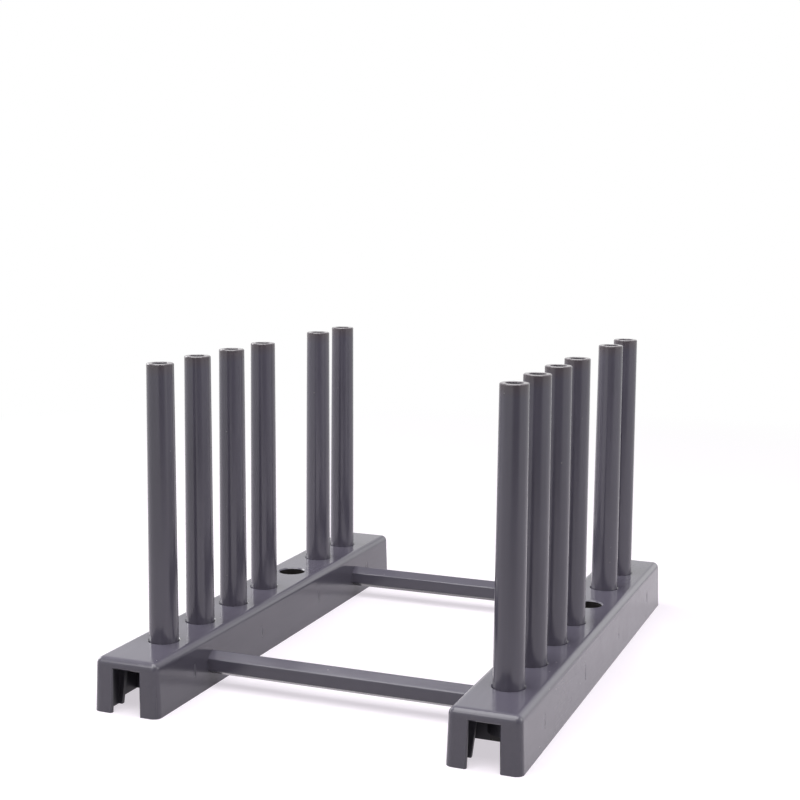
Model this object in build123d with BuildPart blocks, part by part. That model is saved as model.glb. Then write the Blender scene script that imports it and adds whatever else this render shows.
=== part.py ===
from build123d import *
import os
from math import cos, radians

os.makedirs("parts", exist_ok=True)

# A rack that holds pot lids on edge between two rows of upright posts.
# Two moulded base rails lie front to back, two hexagonal crossbars plug in between them,
# and tubular posts stand in sockets along each rail. One socket on each rail is left empty,
# so that a thick lid fits there.
# X runs across the rack, Y from front to back and Z up. The origin is on the floor,
# under the middle of the rack.

# Driving dimensions, in millimetres and degrees

# The rack as a whole
rack_width = 170.0
rack_height = 131.0
hole_count = 7
hole_pitch = 29.0
end_margin = 29.0
empty_hole = 5

# Base rail: a drafted channel, open underneath
rail_width = 28.2
rail_height = 21.2
rail_wall = 1.5
rail_top = 2.0
rail_draft = 2.0
corner_round = 3.0
top_round = 2.7
inside_round = 1.0

# Ribs and sockets inside the rail
rib_thickness = 1.5
rib_lift = 0.3
rib_draft = 1.0
rib_bite = 0.2
socket_clearance = 0.08
socket_wall = 1.5
socket_mouth_chamfer = 0.5
seat_height = 4.5

# Link slot at each end of a rail: a notch, two guide walls behind it and a lip
notch_width = 12.2
notch_roof = 4.0
notch_lean = 1.3
notch_edge_chamfer = 0.5
guide_gap = 18.0
guide_wall = 1.5
lip_distance = 9.8
lip_thickness = 1.5
lip_mouth = 15.0
lip_lean = 7.0

# Crossbar: a hexagonal rod that lies with one edge up, and its socket in the rail
bar_flats = 8.5
bar_centre_height = 9.8
bar_edge_round = 0.8
bar_end_chamfer = 0.5
bar_core = 4.4
bar_grip = 12.0
bar_clearance = 0.08
bar_end_gap = 0.3
bar_socket_wall = 1.2

# Post: a tapered tube, open at both ends
post_foot = 11.6
post_tip = 10.6
post_foot_bore = 7.4
post_tip_bore = 6.5
post_foot_chamfer = 0.6
post_tip_chamfer = 0.3
post_bore_chamfer = 0.2

# Sizes that follow from them
rail_length = (hole_count - 1) * hole_pitch + 2 * end_margin
rail_x = (rack_width - rail_width) / 2
inner_width = rail_width - 2 * rail_wall
inner_length = rail_length - 2 * rail_wall
inner_height = rail_height - rail_top
first_hole = (hole_count - 1) * hole_pitch / 2
socket_radius = post_foot / 2 + socket_clearance
socket_outer = socket_radius + socket_wall
notch_height = rail_height - notch_roof
bar_y = first_hole - hole_pitch / 2
pocket_flats = bar_flats + 2 * bar_clearance
pocket_corner = pocket_flats / 2 / cos(radians(30))
pocket_depth = bar_grip + bar_end_gap
bar_length = rack_width - 2 * rail_width + 2 * bar_grip


def make_rail(side):
    """One base rail. The two are the same moulding, turned end for end."""
    # The plane on the floor under the rail has its X pointing out of the rack
    floor = Plane((side * rail_x, 0, 0), x_dir=(side, 0, 0), z_dir=(0, 0, 1))
    rib_width = inner_width + 2 * rib_bite
    lip_y = rail_length / 2 - lip_distance - lip_thickness / 2
    guide_far = inner_length / 2 + rib_bite
    guide_near = lip_y + lip_thickness / 2 - rib_bite
    block_bottom = bar_centre_height - pocket_corner - bar_socket_wall
    block_start = -inner_width / 2 - rib_bite
    block_end = -rail_width / 2 + pocket_depth + bar_socket_wall

    with BuildPart() as rail:
        # Drafted block with a rounded top, cored out from below
        with BuildSketch(floor):
            RectangleRounded(rail_width, rail_length, corner_round)
        extrude(amount=rail_height, taper=rail_draft)
        fillet(rail.faces().sort_by(Axis.Z)[-1].edges(), top_round)
        with BuildSketch(floor):
            RectangleRounded(inner_width, inner_length, corner_round - rail_wall)
        extrude(amount=inner_height, taper=rail_draft, mode=Mode.SUBTRACT)
        fillet(rail.faces().filter_by(Axis.Z).sort_by(Axis.Z)[-2].edges(), inside_round)

        # Tubes under the holes
        with BuildSketch(floor.offset(seat_height)):
            with GridLocations(0, hole_pitch, 1, hole_count):
                Circle(socket_outer)
        extrude(amount=inner_height - seat_height)

        # A rib across the rail through each tube, bored down to the seat that the post stands on
        with BuildSketch(floor.offset(rib_lift)):
            with GridLocations(0, hole_pitch, 1, hole_count):
                Rectangle(rib_width, rib_thickness)
        extrude(amount=inner_height - rib_lift, taper=-rib_draft)
        with Locations(floor.offset(rail_height)):
            with GridLocations(0, hole_pitch, 1, hole_count):
                Hole(socket_radius, depth=rail_height - seat_height)
        mouths = rail.edges().filter_by(GeomType.CIRCLE).group_by(Axis.Z)[-1]
        chamfer(mouths, socket_mouth_chamfer)

        # Guide walls and a lip behind each end wall
        with BuildSketch(floor.offset(rib_lift)):
            with GridLocations(0, 2 * lip_y, 1, 2):
                Rectangle(rib_width, lip_thickness)
            with GridLocations(guide_gap + guide_wall, guide_far + guide_near, 2, 2):
                Rectangle(guide_wall, guide_far - guide_near)
        extrude(amount=inner_height - rib_lift, taper=-rib_draft)

        # Notches through the end walls and the lips
        for end in (-1, 1):
            end_plane = Plane((side * rail_x, end * rail_length / 2, 0), x_dir=(1, 0, 0), z_dir=(0, -1, 0))
            with BuildSketch(end_plane):
                Trapezoid(notch_width, notch_height, 90 - notch_lean, align=(Align.CENTER, Align.MIN))
            extrude(amount=2 * rail_wall, both=True, mode=Mode.SUBTRACT)
            end_face = rail.faces().sort_by(Axis.Y, reverse=end < 0)[-1]
            rim = end_face.edges().filter_by_position(Axis.Z, rib_lift, rail_height - top_round)
            rim = rim.filter_by_position(Axis.X, side * rail_x - notch_width / 2, side * rail_x + notch_width / 2)
            chamfer(rim, notch_edge_chamfer)
            lip_plane = Plane((side * rail_x, end * lip_y, 0), x_dir=(1, 0, 0), z_dir=(0, -1, 0))
            with BuildSketch(lip_plane):
                Trapezoid(lip_mouth, notch_height, 90 - lip_lean, align=(Align.CENTER, Align.MIN))
            extrude(amount=lip_thickness, both=True, mode=Mode.SUBTRACT)

        # Blocks inside the inner wall, with hexagonal pockets for the crossbars
        with BuildSketch(floor.offset(block_bottom)):
            with GridLocations(0, 2 * bar_y, 1, 2):
                with Locations(((block_start + block_end) / 2, 0)):
                    Rectangle(block_end - block_start, pocket_flats + 2 * bar_socket_wall)
        extrude(amount=inner_height - block_bottom)
        for end in (-1, 1):
            mouth = floor.from_local_coords(Vector(-rail_width / 2, end * bar_y, bar_centre_height))
            with BuildSketch(Plane(mouth, x_dir=(0, 0, 1), z_dir=floor.x_dir)):
                RegularPolygon(pocket_corner, 6)
            extrude(amount=pocket_depth, mode=Mode.SUBTRACT)
    return rail


def make_crossbar(end):
    """Hexagonal rod from rail to rail, with softened edges and a cored middle."""
    start = Plane((-bar_length / 2, end * bar_y, bar_centre_height), x_dir=(0, 0, 1), z_dir=(1, 0, 0))
    with BuildPart() as bar:
        with BuildSketch(start):
            RegularPolygon(bar_flats / 2, 6, major_radius=False)
            fillet(vertices(), bar_edge_round)
        extrude(amount=bar_length)
        chamfer(bar.faces().filter_by(Axis.X).edges(), bar_end_chamfer)
        with BuildSketch(start):
            Circle(bar_core / 2)
        extrude(amount=bar_length, mode=Mode.SUBTRACT)
    return bar


def make_post(side, y):
    """Tapered tube that stands on the rib in its socket."""
    upright = Plane((side * rail_x, y, 0), x_dir=(1, 0, 0), z_dir=(0, -1, 0))
    with BuildPart() as post:
        with BuildSketch(upright):
            with BuildLine():
                foot = Polyline(
                    (post_foot_bore / 2, seat_height),
                    (post_foot / 2 - post_foot_chamfer, seat_height),
                    (post_foot / 2, seat_height + post_foot_chamfer),
                    (post_foot / 2, rail_height),
                )
                tip = Polyline(
                    (post_tip / 2, rack_height - post_tip_chamfer),
                    (post_tip / 2 - post_tip_chamfer, rack_height),
                    (post_tip_bore / 2 + post_bore_chamfer, rack_height),
                    (post_tip_bore / 2, rack_height - post_bore_chamfer),
                )
                Bezier(foot @ 1, tip @ 0)
                Bezier(tip @ 1, foot @ 0)
            make_face()
        revolve(axis=Axis((side * rail_x, y, 0), (0, 0, 1)))
    return post


for side, side_name in ((-1, "left"), (1, "right")):
    rail = make_rail(side)
    rail.part.label = f"rail_{side_name}"
    export_step(rail.part, f"parts/{rail.part.label}.step")

for end, end_name in ((-1, "front"), (1, "rear")):
    bar = make_crossbar(end)
    bar.part.label = f"crossbar_{end_name}"
    export_step(bar.part, f"parts/{bar.part.label}.step")

for side, side_name in ((-1, "left"), (1, "right")):
    for number in range(1, hole_count + 1):
        if number == empty_hole:
            continue
        post = make_post(side, -first_hole + (number - 1) * hole_pitch)
        post.part.label = f"post_{side_name}_{number}"
        export_step(post.part, f"parts/{post.part.label}.step")
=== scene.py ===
import math

import bmesh
import bpy
from mathutils import Matrix, Vector

# The finished look of a pot lid rack: two moulded rails, two crossbars and twelve posts,
# all in the same slate grey plastic. Sizes are in metres.

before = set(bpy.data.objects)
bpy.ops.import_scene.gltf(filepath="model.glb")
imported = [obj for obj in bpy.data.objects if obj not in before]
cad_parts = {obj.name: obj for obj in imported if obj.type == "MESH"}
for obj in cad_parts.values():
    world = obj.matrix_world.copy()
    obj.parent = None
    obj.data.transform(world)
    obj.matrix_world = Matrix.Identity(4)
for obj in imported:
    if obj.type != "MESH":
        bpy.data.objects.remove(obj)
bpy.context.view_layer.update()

# Plastic colours, as linear values: the body, its edges lighter by wear and painted highlight, insides and
# sink marks in painted shade, the painted shade of a socket, post tips and dust
SLATE = (0.111, 0.102, 0.135, 1.0)
SLATE_WEAR_AND_HIGHLIGHT = (0.24, 0.235, 0.28, 1.0)
SLATE_IN_SHADE = (0.080, 0.076, 0.095, 1.0)
SOCKET_PAINTED_SHADE = (0.018, 0.015, 0.015, 1.0)
SLATE_TIP = (0.121, 0.101, 0.114, 1.0)
DUST = (0.38, 0.37, 0.38, 1.0)

# Rails: the middle of one, the middles of its walls and top, how its walls lean in, and the
# height of the sink marks
RAIL_X = 0.0709
WALL_ACROSS = 0.01335
WALL_ALONG = 0.11525
RAIL_TOP = 0.0202
RAIL_DRAFT = 0.035
MARK_HEIGHT = 0.0105

# Posts: the distance between them, a line past the last one, the radius of the middle of their
# wall, and the height of their tips
POST_PITCH = 0.029
PAST_POSTS = 0.1
POST_WALL = 0.0045
POST_TOP = 0.131

# Sockets: the radius of their rims, and the height of the foot of a rim's chamfer
SOCKET_RADIUS = 0.0064
SOCKET_TOP = 0.0206

# How fine the plastic's textures are, in features per metre
CLOUDS = 28.0
STREAKS = 420.0
SMUDGES = 95.0
GRAIN = 2600.0
RIPPLE = 110.0
MARK_PATCHES = 160.0
DUST_CELLS = 200.0

# How wide the lighter edges, of wear and painted highlight, are, and how far each trait hides the colour
# under it
EDGE_WIDTH = 0.0007
EDGE_COVER = 0.5
DUST_COVER = 0.45
MARK_SHADE_COVER = 0.8

# Roughness: how far smudges take it down and up from a piece's own, and what each trait adds
SMOOTHER = 0.03
ROUGHER = 0.06
INSIDE_ROUGHNESS = 0.3
DUST_ROUGHNESS = 0.25
MARK_ROUGHNESS = 0.45

# Floor and surroundings: how strongly the surroundings light the object, how the floor shows,
# how much of the light it throws back, how far and how brightly its shadows are lifted, and
# how far it reaches from its middle
WORLD_LIGHT = 0.05
FLOOR_SHOWN = (0.94, 0.89, 0.95, 1.0)
FLOOR_BOUNCE = (0.22, 0.22, 0.22, 1.0)
SHADOW_LIFT = 0.5
LIFTED_BRIGHTNESS = 1.3
FLOOR_REACH = 6.0

# The unlit gap between the edge light and the right light: its heading, how nearly a direction
# faces it at its border and at its core, and how bright it is there
GAP_HEADING = (0.574, -0.819, 0.0)
GAP_BORDER = 0.86
GAP_CORE = 0.97
GAP_BRIGHTNESS = 0.10

# Camera: its lens and film in millimetres, the nearest that it sees, where it stands, and how
# it is turned, in radians
LENS = 65.04
FILM_WIDTH = 36.0
NEAREST = 0.02
CAMERA_PLACE = (0.2161, -0.5665, 0.1939)
CAMERA_HEADING = 0.3736
CAMERA_TILT = -0.1379
CAMERA_ROLL = -0.0082


class Wire:
    """An output socket of a node. Arithmetic on it adds Math nodes."""

    def __init__(self, finish, socket):
        self.finish = finish
        self.socket = socket

    def maths(self, operation, first, second):
        return self.finish.node("ShaderNodeMath", {"operation": operation}, {0: first, 1: second})

    def __add__(self, other):
        return self.maths("ADD", self, other)

    def __sub__(self, other):
        return self.maths("SUBTRACT", self, other)

    def __rsub__(self, other):
        return self.maths("SUBTRACT", other, self)

    def __mul__(self, other):
        return self.maths("MULTIPLY", self, other)

    def __pow__(self, other):
        return self.maths("POWER", self, other)

    def __abs__(self):
        return self.maths("ABSOLUTE", self, 0.0)

    __radd__ = __add__
    __rmul__ = __mul__


class Finish:
    """The nodes of a material or a world."""

    # Where a Mix node has its two colours and its result
    MIX_FIRST = 6
    MIX_SECOND = 7
    MIX_RESULT = 2

    def __init__(self, owner):
        owner.use_nodes = True
        self.tree = owner.node_tree
        self.tree.nodes.clear()

    def node(self, kind, settings=None, inputs=None, output=0):
        """Adds a node: its settings first, then values or wires for its inputs."""
        made = self.tree.nodes.new(kind)
        for name, value in (settings or {}).items():
            setattr(made, name, value)
        for name, value in (inputs or {}).items():
            if isinstance(value, Wire):
                self.tree.links.new(value.socket, made.inputs[name])
            else:
                made.inputs[name].default_value = value
        return Wire(self, made.outputs[output]) if made.outputs else None

    def noise(self, place, scale, detail=3.0, roughness=0.5):
        """Cloudy noise from 0 to 1, with scale in features per metre."""
        inputs = {"Vector": place, "Scale": scale, "Detail": detail, "Roughness": roughness}
        return self.node("ShaderNodeTexNoise", {}, inputs)

    def span(self, value, low, high, out_low=0.0, out_high=1.0):
        """Takes value's stretch from low to high onto out_low to out_high, and clamps it."""
        inputs = {"Value": value, "From Min": low, "From Max": high, "To Min": out_low, "To Max": out_high}
        return self.node("ShaderNodeMapRange", {"clamp": True}, inputs)

    def fade(self, value, full, gone):
        """1 while value is below full, and from there down to 0 where it comes to gone."""
        return self.span(value, full, gone, 1.0, 0.0)

    def below(self, value, limit, softness=0.0001):
        """1 where value is below the limit, and 0 above it."""
        return self.fade(value, limit - softness, limit + softness)

    def vector(self, operation, first, second=None, output="Vector"):
        """Vector maths on one or two vectors."""
        inputs = {0: first}
        if second is not None:
            inputs[1] = second
        return self.node("ShaderNodeVectorMath", {"operation": operation}, inputs, output)

    def axes(self, place):
        """The X, Y and Z of a place, or the red, green and blue of a colour."""
        first = self.node("ShaderNodeSeparateXYZ", {}, {"Vector": place})
        return [Wire(self, socket) for socket in first.socket.node.outputs]

    def to_and_fro(self, value, reach):
        """Goes up from 0 to reach and back down again as value goes on, evenly."""
        return self.node("ShaderNodeMath", {"operation": "PINGPONG"}, {0: value, 1: reach})

    def round_posts(self, across, along, radius):
        """1 nearer to the axis of a post or an empty socket than the radius."""
        off_axis = abs(across) - RAIL_X
        from_post = self.to_and_fro(along, POST_PITCH / 2)
        distance = (off_axis * off_axis + from_post * from_post) ** 0.5
        return self.below(distance, radius) * self.below(abs(along), PAST_POSTS)

    def mix(self, amount, first, second):
        """Colour that goes from first to second as amount goes from 0 to 1."""
        inputs = {"Factor": amount, self.MIX_FIRST: first, self.MIX_SECOND: second}
        return self.node("ShaderNodeMix", {"data_type": "RGBA"}, inputs, self.MIX_RESULT)

    def bump(self, height, strength, distance, over=None):
        """Relief from a height, over the relief that is there already."""
        inputs = {"Height": height, "Strength": strength, "Distance": distance}
        if over is not None:
            inputs["Normal"] = over
        return self.node("ShaderNodeBump", {}, inputs)

    def shader_mix(self, amount, first, second):
        """Shader that goes from first to second as amount goes from 0 to 1."""
        return self.node("ShaderNodeMixShader", {}, {0: amount, 1: first, 2: second})


def shade(colour, amount):
    """A darker or lighter shade of a colour."""
    return tuple(amount * part for part in colour[:3]) + (1.0,)


def nowhere(finish, place):
    """For a piece without the trait."""
    return 0.0


def rail_inside(finish, place):
    """1 behind a rail's walls and under its top, where the mould isn't polished: rougher, and darkened with
    painted shade.
    """
    across, along, up = finish.axes(place)
    leaning = RAIL_DRAFT * up
    between_sides = finish.below(abs(abs(across) - RAIL_X) + leaning, WALL_ACROSS)
    between_ends = finish.below(abs(along) + leaning, WALL_ALONG)
    return between_sides * between_ends * finish.below(up, RAIL_TOP)


def post_inside(finish, place):
    """1 in a post's bore, where the mould isn't polished: rougher, and darkened with painted shade."""
    across, along, up = finish.axes(place)
    below_tip = finish.below(up, limit=POST_TOP - 0.0003)
    return finish.round_posts(across, along, POST_WALL) * below_tip


def rail_socket_shade(finish, place):
    """1 in the sockets, where painted shade darkens them to near black."""
    across, along, up = finish.axes(place)
    return finish.round_posts(across, along, SOCKET_RADIUS) * finish.below(up, SOCKET_TOP)


def post_bore_shade(finish, place):
    """1 down in a post's bore, where painted shade darkens it more the deeper it goes."""
    across, along, up = finish.axes(place)
    deep = finish.fade(up, full=POST_TOP - 0.0025, gone=POST_TOP - 0.0006)
    return finish.round_posts(across, along, POST_WALL) * deep


def rail_marks(finish, place):
    """Short upright sink marks on a rail's long faces, where every other rib meets them; painted shade
    darkens them.
    """
    across, along, up = finish.axes(place)
    from_rib = POST_PITCH - finish.to_and_fro(along, POST_PITCH)
    near_rib = finish.fade(from_rib, full=0.0003, gone=0.0010)
    half_way_up = finish.fade(abs(up - MARK_HEIGHT), full=0.0012, gone=0.0036)
    patches = finish.noise(place, MARK_PATCHES, detail=2.0)
    patchy = finish.span(patches, low=0.36, high=0.56, out_low=0.25)
    return near_rib * half_way_up * patchy


def post_tip(finish, place):
    """1 at the end of a post, where the plastic is a little warmer in colour."""
    up = finish.axes(place)[2]
    return finish.span(up, low=POST_TOP - 0.0050, high=POST_TOP - 0.0005)


def moulded_plastic(name, roughness, streak_scale, inside=nowhere, painted_shade=nowhere, marks=nowhere, tip=nowhere):
    """Glossy moulded slate plastic. A streak_scale below 1 draws the flow streaks out along that axis."""
    material = bpy.data.materials.new(name)
    finish = Finish(material)
    place = finish.node("ShaderNodeTexCoord", output="Object")
    drawn_out = finish.node("ShaderNodeMapping", {}, {"Vector": place, "Scale": streak_scale})

    clouds = finish.noise(place, CLOUDS)
    streaks = finish.noise(drawn_out, STREAKS, detail=2.0)
    smudges = finish.noise(place, SMUDGES, detail=4.0, roughness=0.62)
    grain = finish.noise(place, GRAIN, detail=1.0)
    ripple = finish.noise(place, RIPPLE, detail=1.0)
    unpolished_and_shaded = inside(finish, place)
    sunk = marks(finish, place)

    # Edges are lighter, where the normal of a rounded edge leaves that of the face: part wear, part painted
    # highlight on the rounded edges
    softened = finish.node("ShaderNodeBevel", {"samples": 6}, {"Radius": EDGE_WIDTH}, "Normal")
    facing = finish.node("ShaderNodeNewGeometry", output="Normal")
    along_face = finish.vector("DOT_PRODUCT", softened, facing, output="Value")
    edge = finish.span(1 - along_face, low=0.01, high=0.22)

    # A few specks of dust: small round spots in some of the cells
    cell = {"Vector": place, "Scale": DUST_CELLS}
    from_middle = finish.node("ShaderNodeTexVoronoi", {}, cell, "Distance")
    pick = finish.axes(finish.node("ShaderNodeTexVoronoi", {}, cell, "Color"))[0]
    dust = finish.fade(from_middle, full=0.03, gone=0.06) * finish.span(pick, low=0.72, high=0.74)

    # Colour, from the body up
    tone = finish.span(clouds * 0.7 + streaks * 0.3, low=0.3, high=0.7)
    body = finish.mix(tone, shade(SLATE, 0.93), shade(SLATE, 1.07))
    tipped = finish.mix(tip(finish, place), body, SLATE_TIP)
    # Lighter edges: part wear, part painted highlight
    edge_wear_and_highlight = finish.mix(edge * EDGE_COVER, tipped, SLATE_WEAR_AND_HIGHLIGHT)
    dusty = finish.mix(dust * DUST_COVER, edge_wear_and_highlight, DUST)
    # Sink marks: real shallow dents, darkened with painted shade
    marks_shaded = finish.mix(sunk * MARK_SHADE_COVER, dusty, SLATE_IN_SHADE)
    # Painted shade: the rails' insides and the post bores are darker, and also rougher
    inside_shaded = finish.mix(unpolished_and_shaded, marks_shaded, SLATE_IN_SHADE)
    # Painted shade: the sockets and the depths of the post bores darkened to near black
    colour = finish.mix(painted_shade(finish, place), inside_shaded, SOCKET_PAINTED_SHADE)

    # Roughness, smudged and then rougher with each trait
    smoothest = roughness - SMOOTHER
    roughest = roughness + ROUGHER
    smudged = finish.span(smudges, low=0.35, high=0.75, out_low=smoothest, out_high=roughest)
    added = unpolished_and_shaded * INSIDE_ROUGHNESS + dust * DUST_ROUGHNESS + sunk * MARK_ROUGHNESS

    # Relief: fine grain, then flow streaks, then ripple with sink marks and dust on it
    fine = finish.bump(grain, strength=0.015, distance=0.0003)
    flow = finish.bump(streaks, strength=0.03, distance=0.0010, over=fine)
    uneven = ripple * 0.15 - sunk + dust * 0.4
    relief = finish.bump(uneven, strength=0.5, distance=0.0001, over=flow)

    shader_inputs = {
        "Base Color": colour,
        "Roughness": smudged + added,
        "Normal": relief,
        "IOR": 1.5,
    }
    shader = finish.node("ShaderNodeBsdfPrincipled", {}, shader_inputs)
    finish.node("ShaderNodeOutputMaterial", {}, {"Surface": shader})
    return material


def dress_nodes():
    """Gives every CAD node its finish."""
    rail_traits = {"inside": rail_inside, "painted_shade": rail_socket_shade, "marks": rail_marks}
    post_traits = {"inside": post_inside, "painted_shade": post_bore_shade, "tip": post_tip}
    finishes = {
        "rail": moulded_plastic("slate rail plastic", 0.14, (1.0, 0.12, 1.0), **rail_traits),
        "crossbar": moulded_plastic("slate crossbar plastic", 0.17, (0.08, 1.0, 1.0)),
        "post": moulded_plastic("slate post plastic", 0.15, (1.0, 1.0, 0.06), **post_traits),
    }
    for name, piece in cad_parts.items():
        for slot in piece.material_slots:
            slot.material = finishes[name.split("_")[0]]


def sight_lines(studio):
    """1 for what the camera sees, and 1 for what it sees by way of a shiny or clear surface."""
    seen = studio.node("ShaderNodeLightPath", output="Is Camera Ray")
    mirrored = studio.node("ShaderNodeLightPath", output="Is Glossy Ray")
    through = studio.node("ShaderNodeLightPath", output="Is Transmission Ray")
    return seen, mirrored + through


def unlit_gap(studio, direction):
    """Brightness that the plastic mirrors from a direction: 1, and low towards the unlit gap."""
    level = studio.vector("MULTIPLY", direction, (1.0, 1.0, 0.0))
    heading = studio.vector("NORMALIZE", level)
    facing_gap = studio.vector("DOT_PRODUCT", heading, GAP_HEADING, output="Value")
    return studio.span(facing_gap, GAP_BORDER, GAP_CORE, 1.0, GAP_BRIGHTNESS)


def studio_floor():
    """Pale floor with the object's shadow, which turns pure white further out.

    It isn't part of the object.
    """
    material = bpy.data.materials.new("pale floor")
    studio = Finish(material)
    place = studio.node("ShaderNodeTexCoord", output="Object")
    from_object = studio.vector("LENGTH", place, output="Value")
    far = studio.span(from_object, low=0.20, high=0.75)
    seen, shiny = sight_lines(studio)
    near_colour = studio.mix(seen + shiny, FLOOR_BOUNCE, FLOOR_SHOWN)
    lit = studio.node("ShaderNodeBsdfDiffuse", {}, {"Color": near_colour})
    glow = studio.node("ShaderNodeEmission", {}, {"Color": FLOOR_SHOWN, "Strength": LIFTED_BRIGHTNESS})
    near_shader = studio.shader_mix((seen + shiny) * SHADOW_LIFT, lit, glow)
    brightness = seen + (1 - seen) * unlit_gap(studio, place)
    far_shader = studio.node("ShaderNodeEmission", {}, {"Strength": brightness})
    shader = studio.shader_mix(far * (seen + shiny), near_shader, far_shader)
    studio.node("ShaderNodeOutputMaterial", {}, {"Surface": shader})
    shape = bmesh.new()
    bmesh.ops.create_grid(shape, x_segments=1, y_segments=1, size=FLOOR_REACH)
    mesh = bpy.data.meshes.new("floor")
    shape.to_mesh(mesh)
    shape.free()
    mesh.materials.append(material)
    floor = bpy.data.objects.new("floor", mesh)
    bpy.context.scene.collection.objects.link(floor)


def studio_world():
    """White surroundings, dim as a light. The plastic mirrors an unlit gap in them."""
    world = bpy.data.worlds.new("studio")
    bpy.context.scene.world = world
    studio = Finish(world)
    direction = studio.node("ShaderNodeTexCoord", output="Generated")
    mirrored = unlit_gap(studio, direction)
    seen, shiny = sight_lines(studio)
    lighting = (1 - seen) * (1 - shiny) * WORLD_LIGHT
    strength = lighting + seen + shiny * (1 - seen) * mirrored
    inputs = {"Color": (1.0, 1.0, 1.0, 1.0), "Strength": strength}
    background = studio.node("ShaderNodeBackground", {}, inputs)
    studio.node("ShaderNodeOutputWorld", {}, {"Surface": background})


def softbox(name, place, target, size, power, highlights_only=False):
    """A rectangular lamp at place that looks at target. Its size is its width and height."""
    lamp = bpy.data.lights.new(name, "AREA")
    lamp.shape = "RECTANGLE"
    lamp.size = size[0]
    lamp.size_y = size[1]
    lamp.energy = power
    holder = bpy.data.objects.new(name, lamp)
    aim = Vector(target) - Vector(place)
    holder.matrix_world = Matrix.Translation(place) @ aim.to_track_quat("-Z", "Y").to_matrix().to_4x4()
    holder.visible_diffuse = not highlights_only
    bpy.context.scene.collection.objects.link(holder)


def light_studio():
    """The five lamps: the place of each, what it looks at, its size, and its power in watts."""
    softbox("overhead light", (0.0, -0.32, 1.0), (0.0, 0.0, 0.0), (1.15, 0.85), 14.2)
    softbox("left light", (-0.95, 0.15, 0.42), (0.0, 0.0, 0.05), (0.6, 0.6), 7.5)
    softbox("right light", (0.95, 0.25, 0.42), (0.0, 0.0, 0.05), (0.6, 0.6), 3.5)
    softbox("edge light", (-0.25, -0.95, 0.72), (0.0, -0.1, 0.0), (0.9, 0.5), 4.6, highlights_only=True)
    softbox("back light", (0.5, 1.15, 0.30), (0.0, 0.0, 0.02), (0.7, 0.5), 0.7, highlights_only=True)


def camera():
    """The camera, at the photograph's viewing angle."""
    lens = bpy.data.cameras.new("camera")
    lens.sensor_width = FILM_WIDTH
    lens.lens = LENS
    lens.clip_start = NEAREST
    holder = bpy.data.objects.new("camera", lens)
    turn = Matrix.Rotation(CAMERA_HEADING, 4, "Z")
    tilt = Matrix.Rotation(CAMERA_TILT, 4, "X")
    roll = Matrix.Rotation(CAMERA_ROLL, 4, "Y")
    upright = Matrix.Rotation(math.pi / 2, 4, "X")
    holder.matrix_world = Matrix.Translation(CAMERA_PLACE) @ turn @ tilt @ roll @ upright
    bpy.context.scene.collection.objects.link(holder)
    bpy.context.scene.camera = holder


dress_nodes()
studio_floor()
studio_world()
light_studio()
camera()
bpy.context.scene.view_settings.view_transform = "Standard"
